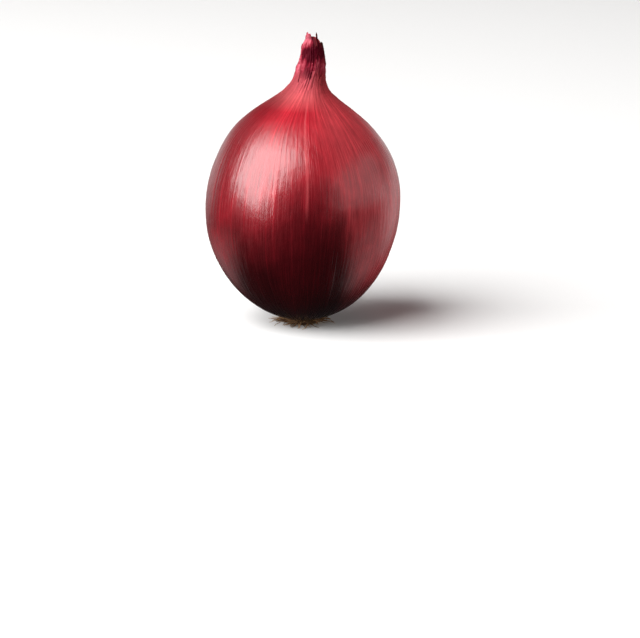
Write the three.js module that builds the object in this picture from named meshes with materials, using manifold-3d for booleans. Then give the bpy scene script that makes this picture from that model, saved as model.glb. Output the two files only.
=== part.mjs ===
// A whole red onion standing on its root end, in millimetres, +Z up.
// One solid is the bulb: the papery globe, its flared shoulder, and the dried, pleated neck that ends in torn
// leaf sheaths. The other is the corky root plate under it, with its tuft of dried, trimmed roots.
import * as THREE from "three";
import { mergeVertices } from "three/addons/utils/BufferGeometryUtils.js";
import Module from "manifold-3d";

const wasm = await Module();
wasm.setup();
const { clamp, degToRad, euclideanModulo, lerp, mapLinear, smoothstep } = THREE.MathUtils;

// Driving dimensions of the globe. Heights are above the surface that the onion stands on.
const bulbDiameter = 75.6;
const equatorHeight = 47.5;
const undersideHeight = 1.6; // where the globe would close if the root plate weren't there
const upperDomeHeight = 42; // of the ellipse that the upper half follows, above the equator
const shoulderHeight = 80; // where the globe ends and the flare to the neck begins
const shoulderRun = 11.5; // how far the flare keeps on along the globe's slope
const bulbSway = 0.55; // the globe bulges this far to the right above its equator, and to the left below it
const swayLength = 13; // height per radian of that sway
const lobes = [
  { count: 2, share: 0.008, phase: 2.2 },
  { count: 3, share: 0.007, phase: 0.9 },
  { count: 5, share: 0.004, phase: 4 },
]; // a grown bulb is never quite round: waves round it, in parts of its radius

// Driving dimensions of the neck
const neckFootHeight = 97;
const neckFootRadius = 5.9;
const neckFootRun = 6.5; // how far below its foot the flare already has the neck's slope
const neckTopHeight = 108;
const neckTopRadius = 3.8;
const neckTopRounding = 1.2;
const neckTipHeight = 112.6;
const neckLean = 3.8; // the neck bends this far to the right of the bulb's axis
const neckLeanBack = 0.8;
const neckDepthShare = 0.86; // the dried neck is a little flat from front to back
const neckTwist = 0.5; // it is wrung round by this many radians

// Pleats that gather on the neck and fade into low ribs on the globe
const pleatCount = 24;
const pleatHeight = 0.5;
const ribHeight = 0.1;
const shallowestPleat = 0.45; // as a share of the deepest

// Torn sheaths round the neck
const sheathColumns = 8;
const sheathRows = 5;
const sheathThickness = 0.7;
const sheathRooting = 0.9; // how deep a sheath's foot sits in the neck
const sheathNarrowing = 0.25;
const sheathWave = 0.3;
const flakeRadius = 2.1; // the sheaths round the tip stand at least this far from the neck's axis

// Driving dimensions of the root plate and its roots
const plateRadius = 7.75;
const plateThickness = 4.6;
const plateWear = 0.9; // how far its worn lower edge is drawn in
const fittingGap = 0.3;
const rootCount = 40;
const rootBaseWidth = 1.1;
const rootTipWidth = 0.65;
const rootShortestReach = 11; // from the onion's axis
const rootReachSpread = 3.6;

// How finely the solids are faceted
const segments = 96;
const plateSegments = 40;
const outlineSteps = [1, 1, 2, 9, 8, 8, 4, 4]; // along each curve of the outline, from the recess to the tip
const rootSteps = 3;
const rootSides = 4;

const bulbRadius = bulbDiameter / 2;
const lowerDepth = equatorHeight - undersideHeight;
const recessRadius = plateRadius + fittingGap;
const recessCeiling = plateThickness + fittingGap;
const lipWidth = 0.6;
const lipRadius = recessRadius + lipWidth;

// A repeatable source of random numbers from 0 to 1
function seededRandom(seed) {
  let state = seed >>> 0;
  return () => {
    state = (state + 0x6d2b79f5) >>> 0;
    let t = Math.imul(state ^ (state >>> 15), 1 | state);
    t = (t + Math.imul(t ^ (t >>> 7), 61 | t)) ^ t;
    return ((t ^ (t >>> 14)) >>> 0) / 4294967296;
  };
}

// Height of the globe's underside at a distance from the axis
function undersideAt(radius) {
  return equatorHeight - lowerDepth * Math.sqrt(1 - (radius / bulbRadius) ** 2);
}

// The outline, as distance from the axis and height, from the recess under the bulb to the neck's tip
function bulbOutline() {
  const lipHeight = undersideAt(lipRadius);
  const lipAngle = Math.atan2((lipHeight - equatorHeight) / lowerDepth, lipRadius / bulbRadius);
  const shoulderAngle = Math.asin((shoulderHeight - equatorHeight) / upperDomeHeight);
  const shoulderRadius = bulbRadius * Math.cos(shoulderAngle);
  const shoulderSlope = new THREE.Vector2(
    -bulbRadius * Math.sin(shoulderAngle),
    upperDomeHeight * Math.cos(shoulderAngle),
  ).normalize();
  const flareStart = new THREE.Vector2(shoulderRadius, shoulderHeight);
  flareStart.addScaledVector(shoulderSlope, shoulderRun);
  const taper = (neckFootRadius - neckTopRadius) / (neckTopHeight - neckFootHeight);
  const flareEnd = new THREE.Vector2(neckFootRadius + neckFootRun * taper, neckFootHeight - neckFootRun);

  const path = new THREE.Path();
  path.moveTo(0, recessCeiling);
  path.lineTo(recessRadius, recessCeiling);
  path.lineTo(recessRadius, lipHeight + lipWidth);
  path.quadraticCurveTo(recessRadius, lipHeight, lipRadius, lipHeight);
  path.absellipse(0, equatorHeight, bulbRadius, lowerDepth, lipAngle, 0, false, 0);
  path.absellipse(0, equatorHeight, bulbRadius, upperDomeHeight, 0, shoulderAngle, false, 0);
  path.bezierCurveTo(flareStart.x, flareStart.y, flareEnd.x, flareEnd.y, neckFootRadius, neckFootHeight);
  path.lineTo(neckTopRadius, neckTopHeight);
  path.quadraticCurveTo(neckTopRadius - neckTopRounding, neckTipHeight, 0, neckTipHeight);
  return path;
}

// The outline's points. A stretch of no length, left where two curves already meet, is skipped.
function outlinePoints() {
  const drawn = bulbOutline().curves.filter((curve) => curve.getLength() > 1e-6);
  return drawn.flatMap((curve, index) => curve.getPoints(outlineSteps[index]).slice(index === 0 ? 0 : 1));
}

const outline = outlinePoints();

// Radius that the sheaths follow at a height above the equator: the outline's, or the flakes' where that is more
function sheathRadiusAt(height) {
  const above = outline.findIndex((point) => point.y > Math.max(height, equatorHeight));
  if (above < 0) return flakeRadius;
  const [lower, upper] = [outline[above - 1], outline[above]];
  return Math.max(flakeRadius, mapLinear(height, lower.y, upper.y, lower.x, upper.x));
}

// The bulb's axis at a height: it sways a little in the globe, and the neck bends right and slightly back
function axisAt(height) {
  const inGlobe = smoothstep(height, 5, 15) * (1 - smoothstep(height, 64, shoulderHeight));
  const sway = bulbSway * Math.sin((height - equatorHeight) / swayLength) * inGlobe;
  const bend = smoothstep(height, shoulderHeight + 2, neckTopHeight - 2);
  return new THREE.Vector2(sway + neckLean * bend, neckLeanBack * bend);
}

const pleatRandom = seededRandom(7);
const pleatShares = Array.from({ length: pleatCount }, () => lerp(shallowestPleat, 1, pleatRandom()));

// How far the surface stands out at an angle and height
function pleatAt(angle, height) {
  const turn = euclideanModulo(angle / (2 * Math.PI), 1) * pleatCount;
  const share = pleatShares[Math.round(turn) % pleatCount];
  const gathered = smoothstep(height, shoulderHeight - 6, shoulderHeight + 10);
  const ribs = smoothstep(height, 14, 40);
  const closing = 1 - smoothstep(height, neckTopHeight, neckTipHeight);
  return share * Math.cos(2 * Math.PI * turn) * (pleatHeight * gathered + ribHeight * ribs) * closing;
}

// A point of the bulb's skin: radius and height from the outline, and the angle round the axis. The lobes fade
// out towards both ends of the axis, and the recess for the root plate is plain.
function skinPoint(radius, height, angle, standOff = 0) {
  const onSkin = radius > 0 && (height > recessCeiling || radius > lipRadius);
  const waves = lobes.map(({ count, share, phase }) => share * Math.cos(count * angle + phase));
  const swell = waves.reduce((sum, wave) => sum + wave) * clamp(radius / (bulbRadius / 2), 0, 1);
  const relief = radius * swell + pleatAt(angle, height);
  const reach = radius + (onSkin ? relief : 0) + standOff;
  const turned = angle + neckTwist * smoothstep(height, shoulderHeight, neckTipHeight);
  const depthShare = lerp(1, neckDepthShare, smoothstep(height, shoulderHeight + 4, neckFootHeight - 1));
  const axis = axisAt(height);
  return new THREE.Vector3(
    axis.x + reach * Math.cos(turned),
    axis.y + reach * Math.sin(turned) * depthShare,
    height,
  );
}

function geometryOf(points, triangles) {
  const geometry = new THREE.BufferGeometry().setFromPoints(points);
  geometry.setIndex(triangles);
  return geometry;
}

// Triangles of a closed tube given as rings of points, with one more point before the first and after the last
function tubeTriangles(ringCount, sides) {
  const triangles = [];
  const last = 1 + ringCount * sides;
  const at = (ring, side) => 1 + ring * sides + (side % sides);
  for (let side = 0; side < sides; side++) {
    triangles.push(0, at(0, side + 1), at(0, side));
    for (let ring = 0; ring < ringCount - 1; ring++) {
      const [a, b] = [at(ring, side), at(ring, side + 1)];
      const [c, d] = [at(ring + 1, side), at(ring + 1, side + 1)];
      triangles.push(a, b, d, a, d, c);
    }
    triangles.push(last, at(ringCount - 1, side), at(ringCount - 1, side + 1));
  }
  return triangles;
}

// Triangles of a blade given as two like grids of points, the outer face first, closed along its four edges
function bladeTriangles(columns, rows) {
  const triangles = [];
  const at = (face, row, column) => (face * (rows + 1) + row) * (columns + 1) + column;
  for (let row = 0; row < rows; row++) {
    for (let column = 0; column < columns; column++) {
      const corners = [[row, column], [row, column + 1], [row + 1, column + 1], [row + 1, column]];
      const outer = corners.map(([r, c]) => at(0, r, c));
      const inner = corners.map(([r, c]) => at(1, r, c));
      triangles.push(outer[0], outer[1], outer[2], outer[0], outer[2], outer[3]);
      triangles.push(inner[0], inner[2], inner[1], inner[0], inner[3], inner[2]);
    }
  }
  const edge = [];
  for (let column = 0; column < columns; column++) edge.push([0, column]);
  for (let row = 0; row < rows; row++) edge.push([row, columns]);
  for (let column = columns; column > 0; column--) edge.push([rows, column]);
  for (let row = rows; row > 0; row--) edge.push([row, 0]);
  edge.forEach(([row, column], index) => {
    const [nextRow, nextColumn] = edge[(index + 1) % edge.length];
    const [a, b] = [at(0, row, column), at(0, nextRow, nextColumn)];
    const [c, d] = [at(1, row, column), at(1, nextRow, nextColumn)];
    triangles.push(a, c, b, b, c, d);
  });
  return triangles;
}

// The bulb's closed surface: one ring of points for each point of the outline
function bulbGeometry() {
  const rings = outline.slice(1, -1);
  const points = [new THREE.Vector3(0, 0, recessCeiling)];
  for (const { x: radius, y: height } of rings) {
    for (let segment = 0; segment < segments; segment++) {
      points.push(skinPoint(radius, height, (2 * Math.PI * segment) / segments));
    }
  }
  points.push(skinPoint(0, neckTipHeight, 0));
  return geometryOf(points, tubeTriangles(rings.length, segments));
}

// The torn sheaths, from the outermost skin's ragged edge low on the neck to the flakes at its tip. angle and
// width are a sheath's place and spread round the neck, foot and top its heights, lift how far its top stands off.
const sheaths = [
  { angle: degToRad(-150), width: degToRad(105), foot: 87, top: 97.5, lift: 0.9, seed: 11 },
  { angle: degToRad(-62), width: degToRad(95), foot: 86, top: 96, lift: 0.9, seed: 12 },
  { angle: degToRad(25), width: degToRad(100), foot: 87, top: 99, lift: 0.8, seed: 13 },
  { angle: degToRad(118), width: degToRad(105), foot: 86, top: 95, lift: 1, seed: 14 },
  { angle: degToRad(-15), width: degToRad(100), foot: 95, top: 107.5, lift: 0.7, seed: 15 },
  { angle: degToRad(85), width: degToRad(100), foot: 94, top: 104, lift: 0.9, seed: 16 },
  { angle: degToRad(170), width: degToRad(100), foot: 94, top: 106, lift: 0.7, seed: 17 },
  { angle: degToRad(-120), width: degToRad(130), foot: 101, top: 115.3, lift: 0.6, seed: 18 },
  { angle: degToRad(-20), width: degToRad(100), foot: 102, top: 113, lift: 0.7, seed: 19 },
  { angle: degToRad(80), width: degToRad(130), foot: 102, top: 114, lift: 0.6, seed: 20 },
];

// How far each column of a sheath is torn back from its top: short teeth, and more towards its two sides
function tornEdge(seed) {
  const random = seededRandom(seed);
  return Array.from({ length: sheathColumns + 1 }, (_, column) => {
    const fromMiddle = Math.abs((2 * column) / sheathColumns - 1);
    const tooth = column % 2 ? lerp(0.8, 2.2, random()) : lerp(0, 0.5, random());
    return tooth + 1.8 * fromMiddle ** 2;
  });
}

// One torn leaf sheath: a curved layer grown to the neck, with a jagged top that stands a little off it. It is a
// free blade only above the neck's own top.
function sheathGeometry({ angle, width, foot, top, lift, seed }) {
  const torn = tornEdge(seed);
  const points = [];
  for (const onOuterFace of [true, false]) {
    for (let row = 0; row <= sheathRows; row++) {
      for (let column = 0; column <= sheathColumns; column++) {
        const up = row / sheathRows;
        const height = lerp(foot, top - torn[column], up);
        const across = (column / sheathColumns - 0.5) * width * (1 - sheathNarrowing * up);
        const wave = sheathWave * up * Math.sin(2.2 * column + seed);
        const outer = lerp(-sheathRooting, lift, up ** 1.3) + wave;
        const freed = smoothstep(height, neckTopHeight, neckTipHeight);
        const inner = lerp(-sheathRooting, outer, freed) - sheathThickness;
        points.push(skinPoint(sheathRadiusAt(height), height, angle + across, onOuterFace ? outer : inner));
      }
    }
  }
  return geometryOf(points, bladeTriangles(sheathColumns, sheathRows));
}

// The plate: a corky disc, flat where it stands
function plateGeometry() {
  const profile = [
    new THREE.Vector2(0, 0),
    new THREE.Vector2(plateRadius - plateWear, 0),
    new THREE.Vector2(plateRadius - plateWear / 4, plateWear / 3),
    new THREE.Vector2(plateRadius, plateWear),
    new THREE.Vector2(plateRadius, plateThickness - plateWear),
    new THREE.Vector2(plateRadius - plateWear / 2, plateThickness),
    new THREE.Vector2(0, plateThickness),
  ];
  return new THREE.LatheGeometry(profile, plateSegments).rotateX(Math.PI / 2);
}

// A root: a tapered, four-sided, bent peg from its start in the plate to its trimmed end
function rootGeometry(start, bend, end) {
  const run = new THREE.QuadraticBezierCurve3(start, bend, end);
  const points = [start.clone()];
  for (let step = 0; step <= rootSteps; step++) {
    const share = step / rootSteps;
    const along = run.getTangent(share);
    const side = new THREE.Vector3(-along.y, along.x, 0).normalize();
    const over = new THREE.Vector3().crossVectors(along, side);
    const corner = (lerp(rootBaseWidth, rootTipWidth, share) / 2) * Math.SQRT2;
    for (let k = 0; k < rootSides; k++) {
      const turn = (2 * Math.PI * (k + 0.5)) / rootSides;
      const point = run.getPoint(share).addScaledVector(side, corner * Math.cos(turn));
      points.push(point.addScaledVector(over, corner * Math.sin(turn)));
    }
  }
  points.push(end.clone());
  return geometryOf(points, tubeTriangles(rootSteps + 1, rootSides));
}

// The roots leave the plate in two tiers and spread out between the bulb and the surface that it stands on
function rootGeometries() {
  const random = seededRandom(31);
  const place = (radius, turn, height) =>
    new THREE.Vector3(radius * Math.cos(turn), radius * Math.sin(turn), height);
  return Array.from({ length: rootCount }, (_, index) => {
    const isUpper = index % 2 === 1;
    const angle = (2 * Math.PI * (index + 0.7 * random())) / rootCount;
    const reach = rootShortestReach + rootReachSpread * random();
    const drift = 0.35 * (random() - 0.5);
    const tipHeight = isUpper ? undersideAt(reach) - 1.2 - 0.6 * random() : 0.6 + 0.5 * random();
    const start = place(plateRadius - 2.2, angle, isUpper ? 1.9 : 1.2);
    const bend = place(plateRadius + 1.6, angle + 0.3 * drift, isUpper ? 1.75 : 0.85);
    return rootGeometry(start, bend, place(reach, angle + drift, tipHeight));
  });
}

// A three.js geometry as a solid that can be joined
function solidOf(geometry) {
  const bare = geometry.clone();
  bare.deleteAttribute("normal");
  bare.deleteAttribute("uv");
  const merged = mergeVertices(bare, 1e-4);
  const mesh = new wasm.Mesh({
    numProp: 3,
    vertProperties: merged.attributes.position.array,
    triVerts: new Uint32Array(merged.index.array),
  });
  return new wasm.Manifold(mesh);
}

function joined(body, additions) {
  const solid = additions.reduce((whole, piece) => whole.add(solidOf(piece)), solidOf(body));
  const { vertProperties, triVerts } = solid.getMesh();
  const geometry = new THREE.BufferGeometry();
  geometry.setAttribute("position", new THREE.BufferAttribute(vertProperties, 3));
  geometry.setIndex(new THREE.BufferAttribute(triVerts, 1));
  geometry.computeVertexNormals();
  return geometry;
}

function named(name, geometry, colour, roughness) {
  const material = new THREE.MeshStandardMaterial({ color: colour, roughness, metalness: 0 });
  const mesh = new THREE.Mesh(geometry, material);
  mesh.name = name;
  return mesh;
}

const onion = new THREE.Group();
onion.add(named("bulb", joined(bulbGeometry(), sheaths.map(sheathGeometry)), 0x8e1c2c, 0.35));
onion.add(named("root_plate", joined(plateGeometry(), rootGeometries()), 0xa98a5c, 0.9));

// The origin is on the surface that the onion stands on, at the middle of its outline seen from above
const extent = new THREE.Box3().setFromObject(onion);
const middle = extent.getCenter(new THREE.Vector3());
onion.position.set(-middle.x, -middle.y, 0);

export default onion;
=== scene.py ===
"""A whole red onion on its root plate: papery bulb, torn neck sheaths, corky plate and dried roots."""
import math

import bpy
import numpy as np
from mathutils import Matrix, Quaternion, Vector, noise


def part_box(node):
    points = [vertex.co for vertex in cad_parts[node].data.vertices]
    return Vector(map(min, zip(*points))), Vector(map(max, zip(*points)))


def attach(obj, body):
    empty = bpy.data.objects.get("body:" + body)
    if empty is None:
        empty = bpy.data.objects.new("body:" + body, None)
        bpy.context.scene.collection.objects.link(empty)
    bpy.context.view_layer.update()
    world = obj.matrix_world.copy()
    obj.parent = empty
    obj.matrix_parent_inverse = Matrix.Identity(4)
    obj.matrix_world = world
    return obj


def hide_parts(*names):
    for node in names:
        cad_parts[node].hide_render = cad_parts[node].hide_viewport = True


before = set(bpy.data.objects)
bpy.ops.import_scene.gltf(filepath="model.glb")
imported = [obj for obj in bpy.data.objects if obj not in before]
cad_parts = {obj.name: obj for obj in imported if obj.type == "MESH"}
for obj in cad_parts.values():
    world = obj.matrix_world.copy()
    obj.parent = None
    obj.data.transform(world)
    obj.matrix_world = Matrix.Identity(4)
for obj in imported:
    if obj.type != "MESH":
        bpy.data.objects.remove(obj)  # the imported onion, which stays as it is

bl_info = {
    "name": "Red onion",
    "version": (1, 0, 0),
    "blender": (4, 5, 0),
    "location": "3D View > Sidebar > Onion",
    "description": "Builds a whole red onion with its papery skin, torn neck sheaths, root plate and roots",
    "category": "Add Mesh",
}

MM = 0.001
TURN = 2 * math.pi
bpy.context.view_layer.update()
BULB_LOW, BULB_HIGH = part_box("bulb")
PLATE_LOW, PLATE_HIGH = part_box("root_plate")
HEIGHT = BULB_HIGH.z
GIRTH = (BULB_HIGH.x - BULB_LOW.x + BULB_HIGH.y - BULB_LOW.y) / 2
FLATNESS = 0.01 * MM

MATH, RANGE, MIX = "ShaderNodeMath", "ShaderNodeMapRange", "ShaderNodeMix"
VECTOR, NOISE, SPLIT = "ShaderNodeVectorMath", "ShaderNodeTexNoise", "ShaderNodeSeparateXYZ"


def standing_face_centre():
    """The onion's axis: the middle of the flat face that it stands on."""
    highest = PLATE_LOW.z + FLATNESS
    points = [v.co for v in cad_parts["root_plate"].data.vertices if v.co.z < highest]
    return sum((Vector((p.x, p.y)) for p in points), Vector((0, 0))) / len(points)


AXIS = standing_face_centre()


def srgb(code):
    """The linear colour of an sRGB hex value."""
    channels = [int(code[i:i + 2], 16) / 255 for i in (1, 3, 5)]
    return [c / 12.92 if c <= 0.04045 else ((c + 0.055) / 1.055) ** 2.4 for c in channels] + [1.0]


def metres(name, default, description):
    return bpy.props.FloatProperty(
        name=name, default=default, description=description, unit="LENGTH", precision=5)


def watts(name, default, description):
    return bpy.props.FloatProperty(name=name, default=default, description=description, unit="POWER")


def paint(name, code, description):
    return bpy.props.FloatVectorProperty(
        name=name, default=srgb(code), description=description, subtype="COLOR", size=4, min=0, max=1)


class OnionShape(bpy.types.PropertyGroup):
    """Sizes of the bulb and its neck. Heights are above the surface that the onion stands on."""

    diameter: metres("Diameter", GIRTH, "Width of the globe at its equator")
    equator: metres("Equator height", 0.4134 * HEIGHT, "Height of the globe's widest part")
    underside: metres("Underside height", 0.0139 * HEIGHT, "Where the globe would close under the plate")
    dome: metres("Dome height", 0.3655 * HEIGHT, "How high the ellipse of the upper half would reach")
    shoulder: metres("Shoulder height", 0.6963 * HEIGHT, "Where the globe turns into the neck's flare")
    shoulder_run: metres("Shoulder run", 0.1001 * HEIGHT, "How far the flare keeps the globe's slope")
    neck_foot: metres("Neck foot height", 0.8442 * HEIGHT, "Top of the flare")
    neck_foot_radius: metres("Neck foot radius", 0.0514 * HEIGHT, "Radius at the top of the flare")
    neck_foot_run: metres("Neck foot run", 0.0566 * HEIGHT, "How far below it the neck's slope sets in")
    neck_top: metres("Neck top height", 0.94 * HEIGHT, "Where the solid neck starts to close")
    neck_top_radius: metres("Neck top radius", 0.0331 * HEIGHT, "Radius where the neck starts to close")
    neck_tip: metres("Neck tip height", 0.98 * HEIGHT, "Where the solid neck is closed")
    flake_radius: metres("Flake radius", 0.0183 * HEIGHT, "Least radius of the sheaths round the tip")
    lean: metres("Neck lean", 0.0331 * HEIGHT, "How far the neck bends to the right")
    lean_back: metres("Neck lean back", 0.007 * HEIGHT, "How far the neck bends to the back")
    sway: metres("Globe sway", 0.0048 * HEIGHT, "How far the globe's middle strays from its axis")


class OnionRelief(bpy.types.PropertyGroup):
    """Pleats, ribs and veins of the skin."""

    pleats: bpy.props.IntProperty(name="Pleats", default=43, min=3, description="Pleats round the neck")
    pleat_height: metres("Pleat height", 0.2 * MM, "How far the neck's pleats stand out")
    veins: bpy.props.IntProperty(name="Veins", default=96, min=3, description="Veins from root to neck")
    vein_height: metres("Vein height", 0.05 * MM, "How far a vein stands out of the skin")
    sheath_thickness: metres("Sheath thickness", 0.28 * MM, "Thickness of a dried leaf sheath")


class OnionRoots(bpy.types.PropertyGroup):
    """The tuft of dried, trimmed roots."""

    count: bpy.props.IntProperty(name="Roots", default=150, min=8, description="Roots round the plate")
    length: metres("Root length", 7.2 * MM, "Length of the longest roots")
    thickness: metres("Root thickness", 0.42 * MM, "Thickness of a root where it leaves the plate")


class OnionColours(bpy.types.PropertyGroup):
    """Colours of the skin, the sheaths, the plate and the roots."""

    shoulder: paint("Shoulder", "#9c1a26", "Skin on the shoulder")
    # The belly's maroon is partly painted shade
    belly: paint("Belly", "#48040b", "Skin below the equator")
    neck: paint("Neck", "#b4484c", "Pale, dry pleats at the foot of the neck")
    torn: paint("Dark sheath", "#4a0213", "Darkest patches of the dried sheaths")
    wine: paint("Wine sheath", "#7c1528", "Wine-red patches of the dried sheaths")
    mauve: paint("Mauve sheath", "#a03c4a", "Faded patches of the dried sheaths")
    withered: paint("Withered edge", "#38190f", "Brown, withered torn edges")
    flake: paint("Pale flake", "#b85a68", "Pale inner side of a torn flake")
    plate: paint("Root plate", "#c3a878", "Corky root plate")
    plate_edge: paint("Root plate edge", "#5d3f26", "Dark, worn edge of the root plate")
    root: paint("Root", "#bf966c", "Dried roots")


class OnionStage(bpy.types.PropertyGroup):
    """Floor, light and camera."""

    elevation: bpy.props.FloatProperty(
        name="Camera elevation", default=math.radians(12), unit="ROTATION",
        description="Angle above the horizon")
    distance: metres("Camera distance", 1.2, "From the camera to the onion's middle")
    pixel: metres("Pixel size", 0.3876 * MM, "What one pixel of the frame spans at the onion")
    key: watts("Key light", 180, "Large light at the upper left")
    card: watts("Side light", 13.5, "Weak light from the right")
    fill: watts("Fill light", 28, "Weak light from the right and behind")
    room: bpy.props.FloatProperty(name="Room light", default=0.025, description="Light of the dim room")
    backdrop: bpy.props.FloatProperty(
        name="Backdrop light", default=0.8, description="Light of the room's pale band and cards")
    floor: paint("Floor", "#e9e8e7", "Plain pale floor")


# Node and mesh helpers


def add_node(tree, kind, inputs=(), stops=(), **settings):
    """Adds a node with its settings and gives its outputs.

    Inputs are in order or by name, and each is linked from a socket or set to a value. A colour ramp also
    has stops, each a place and a colour.
    """
    node = tree.nodes.new(kind)
    for name, value in settings.items():
        setattr(node, name, value)
    keyed = inputs if isinstance(inputs, dict) else dict(enumerate(inputs))
    for key, value in keyed.items():
        if isinstance(value, bpy.types.NodeSocket):
            tree.links.new(value, node.inputs[key])
        else:
            node.inputs[key].default_value = value
    if stops:
        elements = node.color_ramp.elements
        while len(elements) < len(stops):
            elements.new(0.5)
        for element, (place, colour) in zip(elements, stops):
            element.position = place
            element.color = colour
    return node.outputs


def make_object(name, points, faces, attributes=None):
    """A smooth mesh object with float or vector attributes on its points."""
    mesh = bpy.data.meshes.new(name)
    mesh.from_pydata(np.asarray(points, float).tolist(), [], faces)
    for key, values in (attributes or {}).items():
        values = np.asarray(values, np.float32)
        is_vector = values.ndim == 2
        attribute = mesh.attributes.new(key, "FLOAT_VECTOR" if is_vector else "FLOAT", "POINT")
        attribute.data.foreach_set("vector" if is_vector else "value", values.ravel())
    mesh.validate()
    mesh.shade_smooth()
    made = bpy.data.objects.new(name, mesh)
    bpy.context.scene.collection.objects.link(made)
    return made


def new_tree(name, inputs):
    """A geometry tree with named inputs, each of a kind, and the sockets that they give."""
    tree = bpy.data.node_groups.new(name, "GeometryNodeTree")
    tree.interface.new_socket("Geometry", in_out="OUTPUT", socket_type="NodeSocketGeometry")
    for label, kind in {"Geometry": "Geometry", **inputs}.items():
        tree.interface.new_socket(label, in_out="INPUT", socket_type="NodeSocket" + kind)
    return tree, add_node(tree, "NodeGroupInput")


def finish_tree(tree, geometry, material):
    """Ends a geometry tree with real meshes that have their material."""
    real = add_node(tree, "GeometryNodeRealizeInstances", {"Geometry": geometry})[0]
    dressed = add_node(tree, "GeometryNodeSetMaterial", {"Geometry": real, "Material": material})[0]
    add_node(tree, "NodeGroupOutput", {"Geometry": dressed})
    return tree


def bake_nodes(made, tree, inputs):
    """Runs a node tree on an object with its named inputs set, and keeps the result as a plain mesh."""
    modifier = made.modifiers.new(tree.name, "NODES")
    modifier.node_group = tree
    for item in tree.interface.items_tree:
        if item.in_out == "INPUT" and item.name in inputs:
            modifier[item.identifier] = inputs[item.name]
    graph = bpy.context.evaluated_depsgraph_get()
    mesh = bpy.data.meshes.new_from_object(made.evaluated_get(graph), depsgraph=graph)
    made.modifiers.remove(modifier)
    made.data = mesh
    mesh.name = made.name


def finish_piece(made, slot, *nodes):
    """The piece moves with the onion and stands for CAD nodes, which it hides. Its slot is not used."""
    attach(made, "root")
    if nodes:
        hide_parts(*nodes)


def grid_faces(rows, columns, start=0):
    """Quads between the rows of a grid of points, each row a closed ring."""
    row, column = np.meshgrid(np.arange(rows - 1), np.arange(columns), indexing="ij")
    after = (column + 1) % columns
    low, high = row * columns, (row + 1) * columns
    return (np.stack([low + column, low + after, high + after, high + column], -1)
            .reshape(-1, 4) + start).tolist()


# The onion's form

LIP = 0.6 * MM  # the skin's rounded edge round the root plate
FIT_GAP = 0.3 * MM
PLATE_THICKNESS = PLATE_HIGH.z
PLATE_RADIUS = 7.75 * MM
RECESS_RADIUS = PLATE_RADIUS + FIT_GAP
TIP_RADIUS = 0.02 * MM
NECK_TWIST = 0.25  # radians that the neck's pleats turn by on their way up
NECK_FLATNESS = 0.14  # share by which the neck is thinner from front to back
SKIN_LENGTH = 4.1  # from root end to tip, in radii of the globe
SWAY_REACH = 13 * MM  # height in which the globe's sway turns by one radian
RING_SPACING = 0.35  # of the rings at the axis, as a share of that at the equator
SEGMENTS = 480
RINGS = 186
# Waves round the onion, each with its size, number and phase
LOBES = [(0.008, 2, 2.2), (0.007, 3, 0.9), (0.004, 5, 4)]  # shares of the radius
PLEAT_STRAYS = [(0.07, 3, 1), (0.05, 7, 2.3), (0.03, 13, 4)]  # radians
# Dents and bumps of the globe: height in mm, width in mm, seed
LUMPS = [(0.16, 14, 1), (0.25, 33, 2), (0.04, 6, 3)]


def smoothstep(value, low, high):
    share = np.clip((value - low) / (high - low), 0, 1)
    return share * share * (3 - 2 * share)


def bezier(points, steps):
    """Points along a Bezier curve of any degree."""
    t = np.linspace(0, 1, steps)[:, None]
    degree = len(points) - 1
    return sum(math.comb(degree, i) * (1 - t) ** (degree - i) * t ** i * np.array(point)
               for i, point in enumerate(points))


def underside_at(shape, radius):
    """Height of the globe's underside at a distance from the axis."""
    depth = shape.equator - shape.underside
    return shape.equator - depth * np.sqrt(1 - (2 * radius / shape.diameter) ** 2)


def outline(shape, steps=160):
    """Radius and height of the skin, from the lip round the root plate to the neck's tip."""
    radius, depth = shape.diameter / 2, shape.equator - shape.underside
    lip_angle = math.asin((underside_at(shape, RECESS_RADIUS + LIP) - shape.equator) / depth)
    shoulder_angle = math.asin((shape.shoulder - shape.equator) / shape.dome)
    lower = np.linspace(lip_angle, 0, steps)
    upper = np.linspace(0, shoulder_angle, steps)
    slope = Vector((-radius * math.sin(shoulder_angle), shape.dome * math.cos(shoulder_angle))).normalized()
    shoulder = Vector((radius * math.cos(shoulder_angle), shape.shoulder))
    taper = (shape.neck_foot_radius - shape.neck_top_radius) / (shape.neck_top - shape.neck_foot)
    foot = Vector((shape.neck_foot_radius, shape.neck_foot))
    before_foot = foot + shape.neck_foot_run * Vector((taper, -1))
    top = (shape.neck_top_radius, shape.neck_top)
    over_top = (shape.neck_top_radius * 0.7, shape.neck_tip)
    return np.concatenate([
        np.stack([radius * np.cos(lower), shape.equator + depth * np.sin(lower)], 1),
        np.stack([radius * np.cos(upper), shape.equator + shape.dome * np.sin(upper)], 1)[1:],
        bezier([shoulder, shoulder + shape.shoulder_run * slope, before_foot, foot], steps)[1:],
        bezier([foot, top], steps)[1:],
        bezier([top, over_top, (TIP_RADIUS, shape.neck_tip)], steps)[1:],
    ])


def axis_at(shape, height):
    """The bulb's axis at a height: a little sway in the globe, then the neck's bend to right and back."""
    in_globe = smoothstep(height, 5 * MM, 15 * MM) * (1 - smoothstep(height, 64 * MM, shape.shoulder))
    sway = shape.sway * np.sin((height - shape.equator) / SWAY_REACH) * in_globe
    bend = smoothstep(height, shape.shoulder + 2 * MM, shape.neck_top - 2 * MM)
    return AXIS.x + sway + shape.lean * bend, AXIS.y + shape.lean_back * bend


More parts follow.
